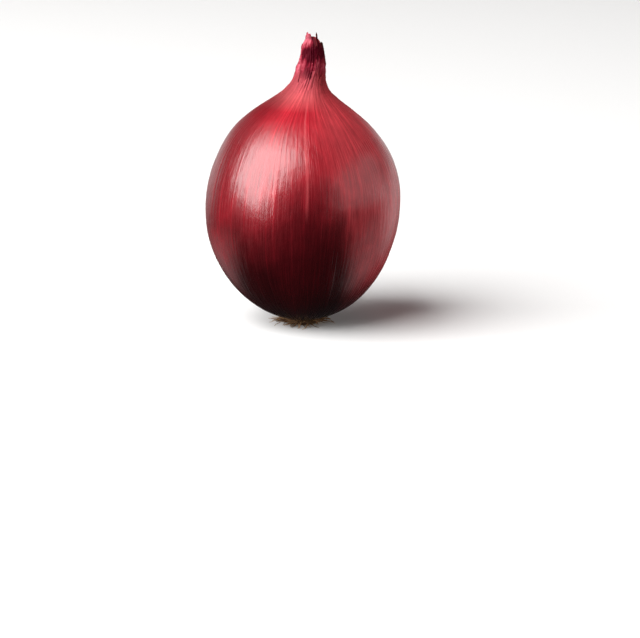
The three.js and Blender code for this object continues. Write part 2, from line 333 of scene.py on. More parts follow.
def pleats_at(shape, relief, angle, height):
    """How far the skin stands out: uneven pleats on the neck that fade into broad ribs on the globe."""
    strayed = angle
    for size, waves, phase in PLEAT_STRAYS:
        strayed = strayed + size * np.sin(waves * angle + phase)
    strayed = strayed + 0.05 * np.sin(height / (6 * MM) + 2 * np.sin(2 * angle))
    gathered = smoothstep(height, shape.shoulder + 1 * MM, shape.shoulder + 15 * MM)
    start = smoothstep(height, shape.shoulder - 10 * MM, shape.shoulder + 8 * MM)
    ribs = smoothstep(height, 14 * MM, 40 * MM)
    broad = 2 * np.abs(np.sin(relief.pleats / 2 * strayed)) - 1
    fine = 2 * np.abs(np.sin(relief.pleats * 1.5 * strayed + 0.7)) - 1
    share = 0.65 + 0.35 * np.sin(5 * angle + 0.6) * np.sin(2 * angle + 1.9)
    ripple = gathered * 0.75 * share * broad + 0.13 * start * fine + 0.05 * ribs * share * broad
    return relief.pleat_height * ripple


def skin_points(shape, relief, radius, height, angle, stand_off=0.0):
    """Points of the skin for radius, height and angle, which are arrays of one shape."""
    lobes = sum(size * np.cos(waves * angle + phase) for size, waves, phase in LOBES)
    swell = radius * lobes * np.clip(4 * radius / shape.diameter, 0, 1)
    closing = 1 - smoothstep(height, shape.neck_top, shape.neck_tip)
    reach = radius + swell + pleats_at(shape, relief, angle, height) * closing + stand_off
    turned = angle + NECK_TWIST * smoothstep(height, shape.shoulder, shape.neck_tip)
    flat = 1 - NECK_FLATNESS * smoothstep(height, shape.shoulder + 4 * MM, shape.neck_foot - 1 * MM)
    x, y = axis_at(shape, height)
    return np.stack([x + reach * np.cos(turned), y + reach * np.sin(turned) * flat, height], -1)


def noise_at(points, size, seed):
    """Smooth noise from about -1 to 1 at each point, with lumps of a size."""
    shift = Vector((17.3 * seed, -9.1 * seed, 5.7 * seed))
    flat = np.asarray(points).reshape(-1, 3) / size
    values = [noise.noise(Vector(p) + shift) for p in flat]
    return np.array(values).reshape(np.asarray(points).shape[:-1])


def rise_at(shape, height):
    """Where a height lies on the way from the root end, 0, to the neck's tip, 1, along the skin."""
    line = outline(shape)
    along = np.concatenate([[0], np.cumsum(np.linalg.norm(np.diff(line, axis=0), axis=1))])
    return np.interp(height, line[:, 1], along / along[-1])


def flow_of(angle, along):
    """Where a pattern lies on the skin: round the onion on a circle of radius 1, and up the meridian."""
    return np.stack([np.cos(angle), np.sin(angle), along], -1).reshape(-1, 3)


def build_bulb(shape, relief):
    """The bulb's closed skin, with its place up and round the onion stored for the pattern."""
    line = outline(shape)
    steps = np.linalg.norm(np.diff(line, axis=0), axis=1)
    middle = (line[1:, 0] + line[:-1, 0]) / shape.diameter
    # Rings lie closer together where the onion is narrow
    station = np.concatenate([[0], np.cumsum(steps / (RING_SPACING + (1 - RING_SPACING) * middle))])
    along = np.concatenate([[0], np.cumsum(steps)])
    wanted = np.linspace(0, station[-1], RINGS)
    ring_radius, ring_height, ring_along = (
        np.interp(wanted, station, values) for values in (line[:, 0], line[:, 1], along))

    around = np.arange(SEGMENTS) / SEGMENTS
    angle, radius = np.meshgrid(TURN * around, ring_radius)
    height = np.repeat(ring_height[:, None], SEGMENTS, 1)
    skin = skin_points(shape, relief, radius, height, angle)
    lumps = sum(high * MM * noise_at(skin, wide * MM, seed) for high, wide, seed in LUMPS)
    outward = skin - np.stack([*axis_at(shape, height), np.minimum(height, shape.equator)], -1)
    outward /= np.linalg.norm(outward, axis=-1, keepdims=True) + 1e-9
    skin += outward * (lumps * smoothstep(radius, 3 * MM, 12 * MM))[..., None]

    lip_height = underside_at(shape, RECESS_RADIUS + LIP)
    ceiling = PLATE_THICKNESS + FIT_GAP
    recess = [
        (0.5 * RECESS_RADIUS, ceiling), (0.97 * RECESS_RADIUS, ceiling),
        (RECESS_RADIUS, ceiling - 0.03 * RECESS_RADIUS), (RECESS_RADIUS, lip_height + LIP),
        (RECESS_RADIUS + 0.25 * LIP, lip_height + 0.25 * LIP)]
    turn_x, turn_y = np.cos(TURN * around), np.sin(TURN * around)
    inner = [np.stack([AXIS.x + r * turn_x, AXIS.y + r * turn_y, np.full(SEGMENTS, h)], -1)
             for r, h in recess]
    x, y = axis_at(shape, np.array([shape.neck_tip]))
    points = np.concatenate([
        [[AXIS.x, AXIS.y, ceiling]], *inner, skin.reshape(-1, 3), [[x[0], y[0], shape.neck_tip]]])

    rows = len(recess) + RINGS
    last_ring, last = 1 + (rows - 1) * SEGMENTS, len(points) - 1
    faces = grid_faces(rows, SEGMENTS, start=1)
    faces += [(0, 1 + (j + 1) % SEGMENTS, 1 + j) for j in range(SEGMENTS)]
    faces += [(last, last_ring + j, last_ring + (j + 1) % SEGMENTS) for j in range(SEGMENTS)]

    total = ring_along[-1]
    before = -np.arange(len(recess), 0, -1) * 0.5 * MM
    rise_rows = np.concatenate([np.zeros(len(recess)), ring_along / total])
    along_rows = np.concatenate([before, ring_along]) / total * SKIN_LENGTH
    flow = flow_of(np.tile(TURN * around, rows), np.repeat(along_rows, SEGMENTS))
    attributes = {
        "flow": np.concatenate([[[0, 0, -1]], flow, [[0, 0, SKIN_LENGTH]]]),
        "rise": np.concatenate([[0], np.repeat(rise_rows, SEGMENTS), [1]]),
        "around": np.concatenate([[0], np.tile(around, rows), [0]]),
    }
    return make_object("onion_bulb", points, faces, attributes)


def vein_tree(material):
    """Raises thin veins that run from the root end to the neck and wander a little on their way."""
    tree, given = new_tree("Skin veins", {
        "Vein count": "Int", "Vein height": "Float", "Wander": "Float", "Seed": "Float"})
    stored = "GeometryNodeInputNamedAttribute"
    flow = add_node(tree, stored, {"Name": "flow"}, data_type="FLOAT_VECTOR")[0]
    around = add_node(tree, stored, {"Name": "around"}, data_type="FLOAT")[0]
    rise = add_node(tree, stored, {"Name": "rise"}, data_type="FLOAT")[0]

    lumps = {"Vector": flow, "W": given["Seed"], "Scale": 1.4, "Detail": 2.0}
    stray = add_node(tree, NOISE, lumps, noise_dimensions="4D")[0]
    strayed = add_node(tree, MATH, [stray, given["Wander"]], operation="MULTIPLY")[0]
    turns = add_node(tree, MATH, [around, given["Vein count"], strayed], operation="MULTIPLY_ADD")[0]
    phase = add_node(tree, MATH, [turns, TURN], operation="MULTIPLY")[0]
    wave = add_node(tree, MATH, [phase], operation="COSINE")[0]
    share = add_node(tree, RANGE, [wave, -1.0, 1.0])[0]
    ridge = add_node(tree, MATH, [share, 2.0], operation="POWER")[0]

    # A vein comes and goes on its way, and all of them fade at the root end and on the neck
    squeezed = add_node(tree, VECTOR, [flow, (9.0, 9.0, 0.7)], operation="MULTIPLY")[0]
    patches = {"Vector": squeezed, "W": given["Seed"], "Scale": 1.0}
    patch = add_node(tree, NOISE, patches, noise_dimensions="4D")[0]
    strength = add_node(tree, RANGE, [patch, 0.35, 0.7])[0]
    appears = add_node(tree, RANGE, [rise, 0.03, 0.2], interpolation_type="SMOOTHSTEP")[0]
    fades = add_node(tree, RANGE, [rise, 0.72, 0.84, 1.0, 0.0], interpolation_type="SMOOTHSTEP")[0]
    height = given["Vein height"]
    for factor in (ridge, strength, appears, fades):
        height = add_node(tree, MATH, [height, factor], operation="MULTIPLY")[0]
    normal = add_node(tree, "GeometryNodeInputNormal")[0]
    offset = add_node(tree, VECTOR, {0: normal, "Scale": height}, operation="SCALE")[0]
    raised = add_node(tree, "GeometryNodeSetPosition", {"Geometry": given["Geometry"], "Offset": offset})[0]
    return finish_tree(tree, raised, material)


# The torn sheaths, from the outermost skin's ragged edge to the flakes at the tip. foot and top are heights
# in mm, flakes are where the torn edge rises or falls (degrees round the neck, mm, degrees of spread), lift
# is how far it stands off the neck in mm, fray how ragged it is in mm, tone how pale it is from 0, dark
# wine, to 1, pale pink, and dry how brown its torn edge is.
SHEATHS = [
    {"name": "sheath_outer", "foot": 85, "top": 97.5, "lift": 0.3, "fray": 0.9, "tone": 0.6, "dry": 0.35,
     "seed": 11, "flakes": [
         (-176, 6.5, 30), (-123, -2.2, 18), (-90, 6.5, 20), (-36, 1, 20), (39, 2, 35), (132, -1, 30)]},
    {"name": "sheath_middle", "foot": 92, "top": 104.5, "lift": 0.45, "fray": 1.1, "tone": 0.3, "dry": 0.8,
     "seed": 15, "flakes": [(-136, 4, 34), (-49, 5, 30), (84, 2, 30)]},
    {"name": "sheath_inner", "foot": 99, "top": 109.3, "lift": 0.55, "fray": 0.8, "tone": 0.3, "dry": 1.0,
     "seed": 18, "flakes": [(-148, 4.9, 44), (-66, 4.8, 8), (-20, 1, 20), (94, 2.5, 40)]},
]
# Where the dried sheaths are paler or darker: degrees round the neck, height in mm, amount, and the spread
# in degrees and in mm. The pale patch at -90 degrees and 101.5 mm is a painted sheen, and the dark window at
# -123 degrees and 98.3 mm is partly painted shade in the gap under the outer sheath's torn edge.
TINTS = [
    (-172, 101, 0.6, 32, 4.5), (-123, 98.3, -0.7, 28, 2.6), (-90, 101.5, 0.6, 18, 2.0),
    (-130, 106.4, -1.0, 38, 2.3), (-150, 111.8, 0.75, 40, 3.2), (-48, 107.5, -0.45, 42, 4.5),
    (-74, 111, -0.6, 25, 3), (134, 107, 0.3, 45, 6), (-20, 100, 0.35, 35, 4)]
TEETH = [(1.0, 0.34), (0.7, 0.13), (0.5, 0.05)]  # of a torn edge: share of the fray, width in radians
SUNK = 0.25 * MM  # how deep a sheath's foot sits in the skin
SHEATH_COLUMNS = 300
SHEATH_ROWS = 48


def degrees_away(angle, middle):
    """How far angles are from a direction in degrees, the short way round, in radians."""
    return (angle - math.radians(middle) + math.pi) % TURN - math.pi


def tear_line(angle, top, fray, flakes, seed):
    """Height of a sheath's torn edge: flakes that rise from it, and short irregular teeth."""
    height = np.full_like(angle, top * MM)
    for middle, rise, spread in flakes:
        height += rise * MM * np.exp(-(degrees_away(angle, middle) / math.radians(spread)) ** 4)
    circle = np.stack([np.cos(angle), np.sin(angle), np.full_like(angle, 3.1 * seed)], -1)
    teeth = sum(share * noise_at(circle, width, seed + i) for i, (share, width) in enumerate(TEETH))
    return height + fray * MM * teeth


def build_sheath(shape, relief, name, foot, top, lift, fray, tone, dry, seed, flakes):
    """One torn leaf sheath: a thin, crinkled tube out of the neck's skin that ends in a ragged edge."""
    around = TURN * np.arange(SHEATH_COLUMNS) / SHEATH_COLUMNS
    edge = tear_line(around, top, fray, flakes, seed)
    share = np.linspace(0, 1, SHEATH_ROWS)[:, None]
    height = foot * MM + (edge[None, :] - foot * MM) * share
    angle = np.repeat(around[None, :], SHEATH_ROWS, 0)
    line = outline(shape)
    upper = line[:, 1] > shape.equator
    radius = np.maximum(shape.flake_radius, np.interp(height, line[upper, 1], line[upper, 0]))

    # Crinkles: drawn out up the sheath, round, and fine across it, and a torn edge that curls
    place = np.stack([np.cos(angle) * 6 * MM, np.sin(angle) * 6 * MM, height], -1)
    long = place * (1, 1, 0.35)
    wrinkle = 0.2 * MM * noise_at(long, 1.1 * MM, seed + 3) + 0.36 * MM * noise_at(place, 2.4 * MM, seed + 4)
    wrinkle = wrinkle + 0.2 * MM * share * noise_at(place * (1, 1, 1.6), 1.0 * MM, seed + 9)
    curl = 0.4 * MM * share ** 8 * noise_at(long, 4 * MM, seed + 5)
    outer = -SUNK + (lift * MM + SUNK) * share ** 0.6 + wrinkle * share ** 0.5 + curl
    inner = outer - relief.sheath_thickness * (1 - 0.5 * share)
    sides = [skin_points(shape, relief, radius, height, angle, stand) for stand in (outer, inner)]
    points = np.concatenate([side.reshape(-1, 3) for side in sides])

    count = SHEATH_ROWS * SHEATH_COLUMNS
    faces = grid_faces(SHEATH_ROWS, SHEATH_COLUMNS)
    faces += [face[::-1] for face in grid_faces(SHEATH_ROWS, SHEATH_COLUMNS, start=count)]
    top_row = (SHEATH_ROWS - 1) * SHEATH_COLUMNS
    for j in range(SHEATH_COLUMNS):
        after = (j + 1) % SHEATH_COLUMNS
        faces.append((top_row + j, top_row + after, count + top_row + after, count + top_row + j))
        faces.append((after, j, count + j, count + after))

    paleness = tone + 0.45 * noise_at(long, 2.4 * MM, seed + 6) + 0.25 * noise_at(place, 0.8 * MM, seed + 8)
    paleness = paleness + 0.4 * noise_at(place * (1, 1, 0.1), 0.5 * MM, seed + 10)
    for middle, level, amount, wide, high in TINTS:
        near = (degrees_away(angle, middle) / math.radians(wide)) ** 2 + ((height / MM - level) / high) ** 2
        paleness = paleness + amount * np.exp(-near)
    dry_side = dry * (0.55 + 0.45 * np.cos(angle + NECK_TWIST))
    torn = share ** 7 * dry_side + 0.4 * dry_side * noise_at(place, 1.3 * MM, seed + 7) * share
    rise = rise_at(shape, height)
    values = {
        "tone": np.clip(paleness, 0, 1),
        "torn": np.clip(torn, 0, 1),
        "freed": smoothstep(share, 0.1, 0.6),
        "rise": rise,
    }
    attributes = {key: np.tile((value + 0 * angle).ravel(), 2) for key, value in values.items()}
    attributes["flow"] = np.tile(flow_of(angle, rise * SKIN_LENGTH), (2, 1))
    return make_object(name, points, faces, attributes)


# The root plate's wall from the middle of its top, round its edge, to the middle of its standing face, as
# shares of its radius and thickness
PLATE_WALL = [
    (0.0, 1.0), (0.5, 1.0), (0.93, 1.0), (1.0, 0.93), (1.0, 0.6), (0.99, 0.34), (0.95, 0.2), (0.88, 0.09),
    (0.79, 0.025), (0.66, 0.0), (0.45, 0.0), (0.22, 0.0), (0.0, 0.0)]
PLATE_RINGS = 49
PLATE_COLUMNS = 180


def build_plate():
    """The corky root plate: a worn disc with a flat standing face, rough with the scars of roots."""
    shares = np.array(PLATE_WALL)
    stations = np.linspace(0, len(PLATE_WALL) - 1, PLATE_RINGS)
    across, up = [np.interp(stations, range(len(PLATE_WALL)), shares[:, i])[1:-1] for i in (0, 1)]
    ring_radius, ring_height = across * (PLATE_RADIUS - 0.1 * MM), up * PLATE_THICKNESS
    columns, rows = PLATE_COLUMNS, len(ring_radius)
    angle, radius = np.meshgrid(TURN * np.arange(columns) / columns, ring_radius)
    height = np.repeat(ring_height[:, None], columns, 1)
    place = np.stack([radius * np.cos(angle), radius * np.sin(angle), height], -1)
    rough = 0.22 * noise_at(place, 1.1 * MM, 31) + 0.3 * noise_at(place, 2.7 * MM, 32)
    on_side = smoothstep(radius, 0.6 * PLATE_RADIUS, 0.9 * PLATE_RADIUS)
    radius = radius + np.clip(rough, -0.4, 0.3) * MM * on_side
    is_under = height < 0.5 * PLATE_THICKNESS
    height = np.where(is_under, height + np.clip(0.5 * rough, 0, 0.3) * MM, height)
    wall = np.stack([AXIS.x + radius * np.cos(angle), AXIS.y + radius * np.sin(angle), height], -1)
    points = np.concatenate([
        [[AXIS.x, AXIS.y, PLATE_THICKNESS]], wall.reshape(-1, 3), [[AXIS.x, AXIS.y, 0]]])
    faces = [face[::-1] for face in grid_faces(rows, columns, start=1)]
    last_ring, last = 1 + (rows - 1) * columns, len(points) - 1
    faces += [(0, 1 + j, 1 + (j + 1) % columns) for j in range(columns)]
    faces += [(last, last_ring + (j + 1) % columns, last_ring + j) for j in range(columns)]
    return make_object("root_plate_cork", points, faces)


def root_tree(material):
    """Scatters thin, curly roots round the root plate, which spread outwards and droop to the floor."""
    tree, given = new_tree("Dried roots", {
        "Count": "Int", "Length": "Float", "Thickness": "Float", "Plate radius": "Float",
        "Middle": "Vector", "Seed": "Int"})

    def draw(low, high, number):
        """A random value for each root, with a seed of its own for each use."""
        seed = add_node(tree, MATH, [given["Seed"], number], operation="ADD")[0]
        limits = {2: low, 3: high, "Seed": seed}
        return add_node(tree, "FunctionNodeRandomValue", limits, data_type="FLOAT")[1]

    angle = draw(0.0, TURN, 1)
    reach = add_node(tree, MATH, [given["Plate radius"], draw(0.5, 0.93, 2)], operation="MULTIPLY")[0]
    ways = [add_node(tree, MATH, [angle], operation=name)[0] for name in ("COSINE", "SINE")]
    across = [add_node(tree, MATH, [reach, way], operation="MULTIPLY")[0] for way in ways]
    start = add_node(tree, "ShaderNodeCombineXYZ", [*across, draw(0.5 * MM, 2.1 * MM, 3)])[0]
    placed = add_node(tree, VECTOR, [start, given["Middle"]], operation="ADD")[0]
    points = add_node(tree, "GeometryNodePoints", {"Count": given["Count"], "Position": placed})[0]
    ends = {"Start": (0, 0, 0), "End": (1, 0, 0)}
    line = add_node(tree, "GeometryNodeCurvePrimitiveLine", ends)[0]
    fine_line = add_node(tree, "GeometryNodeResampleCurve", {"Curve": line, "Count": 10})[0]
    heading = add_node(tree, MATH, [angle, draw(-0.6, 0.6, 5)], operation="ADD")[0]
    turn = add_node(tree, "ShaderNodeCombineXYZ", {1: draw(-0.12, 0.3, 4), 2: heading})[0]
    length = add_node(tree, MATH, [given["Length"], draw(0.45, 1.0, 6)], operation="MULTIPLY")[0]
    scattered = add_node(tree, "GeometryNodeInstanceOnPoints", {
        "Points": points, "Instance": fine_line, "Rotation": turn, "Scale": length})[0]
    curves = add_node(tree, "GeometryNodeRealizeInstances", {"Geometry": scattered})[0]

    # Each bends more towards its end, and none goes into the floor
    along = add_node(tree, "GeometryNodeSplineParameter")["Factor"]
    position = add_node(tree, "GeometryNodeInputPosition")[0]
    curls = {"Vector": position, "Scale": 260.0, "Detail": 1.0, "W": 3.0}
    wave = add_node(tree, NOISE, curls, noise_dimensions="4D")["Color"]
    swing = add_node(tree, VECTOR, [wave, (0.5, 0.5, 0.5)], operation="SUBTRACT")[0]
    bend = add_node(tree, MATH, [along, 5.0 * MM], operation="MULTIPLY")[0]
    offset = add_node(tree, VECTOR, {0: swing, "Scale": bend}, operation="SCALE")[0]
    curly = add_node(tree, "GeometryNodeSetPosition", {"Geometry": curves, "Offset": offset})[0]
    x, y, z = add_node(tree, SPLIT, [position])
    lowest = add_node(tree, MATH, [given["Thickness"], 0.55], operation="MULTIPLY")[0]
    resting_z = add_node(tree, MATH, [z, lowest], operation="MAXIMUM")[0]
    resting = add_node(tree, "ShaderNodeCombineXYZ", [x, y, resting_z])[0]
    rested = add_node(tree, "GeometryNodeSetPosition", {"Geometry": curly, "Position": resting})[0]
    tone = {"Geometry": rested, "Name": "tone", 3: draw(0.0, 1.0, 7)}
    toned = add_node(tree, "GeometryNodeStoreNamedAttribute", tone, data_type="FLOAT", domain="CURVE")[0]

    taper = add_node(tree, RANGE, [along, 0.0, 1.0, 0.5, 0.16])[0]
    radius = add_node(tree, MATH, [given["Thickness"], taper], operation="MULTIPLY")[0]
    circle = add_node(tree, "GeometryNodeCurvePrimitiveCircle", {"Resolution": 5, "Radius": 1.0})[0]
    skinned = add_node(tree, "GeometryNodeCurveToMesh", {
        "Curve": toned, "Profile Curve": circle, "Scale": radius, "Fill Caps": True})[0]
    smooth = add_node(tree, "GeometryNodeSetShadeSmooth", {"Geometry": skinned})[0]
    return finish_tree(tree, smooth, material)


# Materials

WHITE = (1, 1, 1, 1)
# Where the skin is made lighter or darker: painted light on the right of the globe, painted shade low on
# the right, and darker on the right of the neck and on the left cheek. side is -1 at the far left and 1 at
# the far right, and rise is 0 at the root end and 1 at the tip. Each range goes from none to full, or has
# its shares after it.
SHADES = [
    # painted light: the right of the globe is made lighter
    {"side": (0.3, 0.75), "rises": [(0.56, 0.44)], "times": 1.35},  # the right of the globe
    {"side": (0.1, 0.7), "rises": [(0.74, 0.82)], "times": 0.8},  # the right of the neck
    # painted shade: low on the right is made darker
    {"side": (0.2, 0.6), "rises": [(0.26, 0.13)], "times": 0.35},  # low on the right
    {"side": (-0.45, -0.9), "rises": [(0.28, 0.38), (0.88, 0.79, 0.35, 1.0)], "times": 0.4},  # left cheek
]
# Where the maroon's upper edge, a painted shadow edge, drops from its peak: from and to which place, and the
# drop at both as shares of the way from root to tip. Near and left go by the square of the distance from the
# peak, right by side.
MAROON_PEAK = 0.15
DROP_NEAR = (0.0, 0.2, 0.0, 0.115)
DROP_LEFT = (0.62, 1.0, 0.0, 0.14)
DROP_RIGHT = (0.36, 0.64, 0.0, 0.19)
DROP_TILT = 0.06  # towards the right, all the way across
CLOUDS = 0.16  # how far clouds move the edge
EDGE_SHIFTS = (0.1, 0.11)  # make up for what clouds and tilt add
MAROON_HOLD = 1.6  # above 1, the blend keeps to maroon for longer
# Painted shade across the belly: shares of its colour from the far left, 0, to the far right, 1
BELLY_SHADES = [(0.07, 1.0), (0.14, 0.45), (0.3, 0.5), (0.42, 1.0)]


def new_material(name):
    """An empty material and its tree."""
    material = bpy.data.materials.new(name)
    material.use_nodes = True
    material.node_tree.nodes.clear()
    return material, material.node_tree


def finish_material(tree, inputs, relief=None, strength=0.0, depth=0.0):
    """Ends a material's tree with its shader, on a relief of some strength and depth if it has one."""
    if relief:
        bump = {"Height": relief, "Strength": strength, "Distance": depth}
        inputs = {**inputs, "Normal": add_node(tree, "ShaderNodeBump", bump)[0]}
    shader = add_node(tree, "ShaderNodeBsdfPrincipled", inputs)[0]
    add_node(tree, "ShaderNodeOutputMaterial", {"Surface": shader})


def darken(tree, colour, share, *limits):
    """Multiplies a colour by a grey that follows a share between limits. Above 1 it makes it lighter."""
    level = add_node(tree, RANGE, [share, *limits])[0]
    grey = add_node(tree, "ShaderNodeCombineColor", [level, level, level])[0]
    return add_node(tree, MIX, {0: 1.0, 6: colour, 7: grey}, data_type="RGBA", blend_type="MULTIPLY")[2]


def tint(tree, colour, other, share, *limits):
    """Turns a colour into another as a share goes through limits."""
    amount = add_node(tree, RANGE, [share, *limits])[0]
    return add_node(tree, MIX, {0: amount, 6: colour, 7: other}, data_type="RGBA")[2]


def limit(tree, share, value, *limits):
    """Multiplies a share by where a value lies between limits."""
    within = add_node(tree, RANGE, [value, *limits])[0]
    return add_node(tree, MATH, [share, within], operation="MULTIPLY")[0]


def streaks(tree, flow, across, along, detail=2.0):
    """Noise drawn out up the skin: lumps to one radius of the globe, across and along."""
    stretched = add_node(tree, VECTOR, [flow, (across, across, along)], operation="MULTIPLY")[0]
    return add_node(tree, NOISE, {"Vector": stretched, "Scale": 1.0, "Detail": detail})[0]


def body_colour(tree, shape, colours, flow, rise):
    """The tunic's colour: maroon below the equator (partly painted shade), crimson shoulder, coral gathered
    neck.
    """
    marks = rise_at(shape, np.array([
        shape.equator - 12 * MM, shape.equator + 19 * MM, shape.neck_foot - 11 * MM,
        shape.neck_foot - 6.5 * MM, shape.neck_foot + 6 * MM, shape.neck_tip]))
    dark_end, upper_start, blush, coral, faded, tip = [float(mark) for mark in marks]
    side = add_node(tree, SPLIT, [flow])[0]

    # The maroon's upper edge is painted as a shadow edge: it reaches highest right of the middle, at the
    # front and back, and less high at the sides
    away = add_node(tree, MATH, [side, MAROON_PEAK], operation="SUBTRACT")[0]
    aside = add_node(tree, MATH, [away, away], operation="MULTIPLY")[0]
    near = add_node(tree, RANGE, [aside, *DROP_NEAR])[0]
    left = add_node(tree, RANGE, [aside, *DROP_LEFT])[0]
    right = add_node(tree, RANGE, [side, *DROP_RIGHT])[0]
    far = add_node(tree, MATH, [left, right], operation="MAXIMUM")[0]
    lift = add_node(tree, MATH, [near, far], operation="ADD")[0]
    tilted = add_node(tree, MATH, [side, DROP_TILT, lift], operation="MULTIPLY_ADD")[0]
    lifted = add_node(tree, MATH, [tilted, rise], operation="ADD")[0]
    cloud = streaks(tree, flow, 2.0, 1.3, 3.0)
    clouded = add_node(tree, MATH, [cloud, CLOUDS, lifted], operation="MULTIPLY_ADD")[0]
    upper_share = add_node(tree, RANGE, [clouded, dark_end + EDGE_SHIFTS[0], upper_start + EDGE_SHIFTS[1]])[0]
    upper_eased = add_node(tree, MATH, [upper_share, MAROON_HOLD], operation="POWER")[0]

    # On the right, shoulder and neck blend into one colour between theirs
    upper = add_node(tree, "ShaderNodeValToRGB", [rise], stops=[
        (blush, colours.shoulder), (coral, colours.neck), (faded, colours.mauve), (tip, colours.torn)])[0]
    upper = tint(tree, upper, colours.shoulder, side, 0.1, 0.7)
    upper = tint(tree, upper, colours.neck, side, 0.1, 0.5, 0.0, 0.4)
    # Painted shade: the belly's maroon is made darker still on the left of the middle, but not at the far
    # left edge
    across = add_node(tree, RANGE, [side, -1.0, 1.0])[0]
    shade = add_node(tree, "ShaderNodeValToRGB", [across], stops=[
        (place, (grey, grey, grey, 1)) for place, grey in BELLY_SHADES])[0]
    belly = add_node(tree, MIX, {0: 1.0, 6: shade, 7: colours.belly}, data_type="RGBA",
                     blend_type="MULTIPLY")[2]
    body = add_node(tree, MIX, {0: upper_eased, 6: belly, 7: upper}, data_type="RGBA")[2]
    for area in SHADES:
        share = add_node(tree, RANGE, [side, *area["side"]])[0]
        for limits in area["rises"]:
            share = limit(tree, share, rise, *limits)
        body = darken(tree, body, share, 0.0, 1.0, 1.0, area["times"])
    return body


def tunic_material(shape, colours):
    """Dry onion tunic: the outermost leaf base, dried to a glossy paper that shows fibres and veins."""
    material, tree = new_material("Dry onion tunic")
    flow = add_node(tree, "ShaderNodeAttribute", attribute_name="flow")["Vector"]
    rise = add_node(tree, "ShaderNodeAttribute", attribute_name="rise")["Fac"]
    torn = add_node(tree, "ShaderNodeAttribute", attribute_name="torn")["Fac"]
    body = body_colour(tree, shape, colours, flow, rise)
    # Veins about 1.5 mm apart at the equator, fibres of 0.5 mm between them, and mottles of 4 mm
    vein = add_node(tree, RANGE, [streaks(tree, flow, 26, 0.8), 0.52, 0.7])[0]
    fibre = streaks(tree, flow, 78, 3.0)
    mottle = add_node(tree, RANGE, [streaks(tree, flow, 9.0, 6.0, 3.0), 0.3, 0.7])[0]

    # One pale vein, 1.5 mm wide, runs down the front from the neck to the equator
    side, front, _ = add_node(tree, SPLIT, [flow])
    away = add_node(tree, MATH, [side, 0.035], operation="SUBTRACT")[0]
    off = add_node(tree, MATH, [away], operation="ABSOLUTE")[0]
    pale = add_node(tree, RANGE, [off, 0.022, 0.006])[0]
    pale = limit(tree, pale, front, -0.9, -1.0)
    pale = limit(tree, pale, rise, 0.42, 0.52)
    body = tint(tree, body, colours.neck, pale, 0.0, 1.0, 0.0, 0.6)
    body = tint(tree, body, colours.withered, torn, 0.4, 0.9, 0.0, 0.6)
    fibrous = add_node(tree, RANGE, [fibre, 0.3, 0.7])[0]
    grains = [(vein, 0.94, 1.3), (fibrous, 0.82, 1.15), (pale, 1.0, 1.15), (mottle, 0.88, 1.12)]
    for share, low, high in grains:
        body = darken(tree, body, share, 0.0, 1.0, low, high)

    relief = add_node(tree, MATH, [vein, 0.5, fibre], operation="MULTIPLY_ADD")[0]
    relief = add_node(tree, MATH, [mottle, 0.9, relief], operation="MULTIPLY_ADD")[0]
    # The globe is glossy, and the gathered neck dry and matt
    gloss = add_node(tree, RANGE, [fibre, 0.25, 0.75, 0.2, 0.32])[0]
    dull = add_node(tree, RANGE, [rise, 0.62, 0.8, 0.0, 0.34])[0]
    rough = add_node(tree, MATH, [gloss, dull], operation="ADD")[0]
    level = add_node(tree, RANGE, [dull, 0.0, 0.2, 0.46, 0.07])[0]
    finish_material(
        tree, {"Base Color": body, "Roughness": rough, "IOR": 1.66, "Specular IOR Level": level},
        relief, strength=0.8, depth=0.09 * MM)
    return material


def sheath_material(shape, colours):
    """Dried leaf sheath: brittle matt paper, pink where thin, maroon to brown where withered; has painted
    sheen and shade.
    """
    material, tree = new_material("Dried leaf sheath")
    flow = add_node(tree, "ShaderNodeAttribute", attribute_name="flow")["Vector"]
    rise, tone, freed, torn = [
        add_node(tree, "ShaderNodeAttribute", attribute_name=name)["Fac"]
        for name in ("rise", "tone", "freed", "torn")]
    body = body_colour(tree, shape, colours, flow, rise)
    # The tones hold the tints' painted sheen and partly painted shade
    dry = add_node(tree, "ShaderNodeValToRGB", [tone], stops=[
        (0.0, colours.torn), (0.4, colours.wine), (0.7, colours.mauve), (1.0, colours.flake)])[0]
    body = add_node(tree, MIX, {0: freed, 6: body, 7: dry}, data_type="RGBA")[2]
    body = tint(tree, body, colours.withered, torn, 0.45, 0.95, 0.0, 0.85)
    # Fibres of about 1.5 mm
    fibre = streaks(tree, flow, 24, 5.0, 3.0)
    colour = darken(tree, body, fibre, 0.3, 0.7, 0.85, 1.15)
    finish_material(
        tree, {"Base Color": colour, "Roughness": 0.55, "IOR": 1.45, "Specular IOR Level": 0.06},
        fibre, strength=0.5, depth=0.2 * MM)
    return material


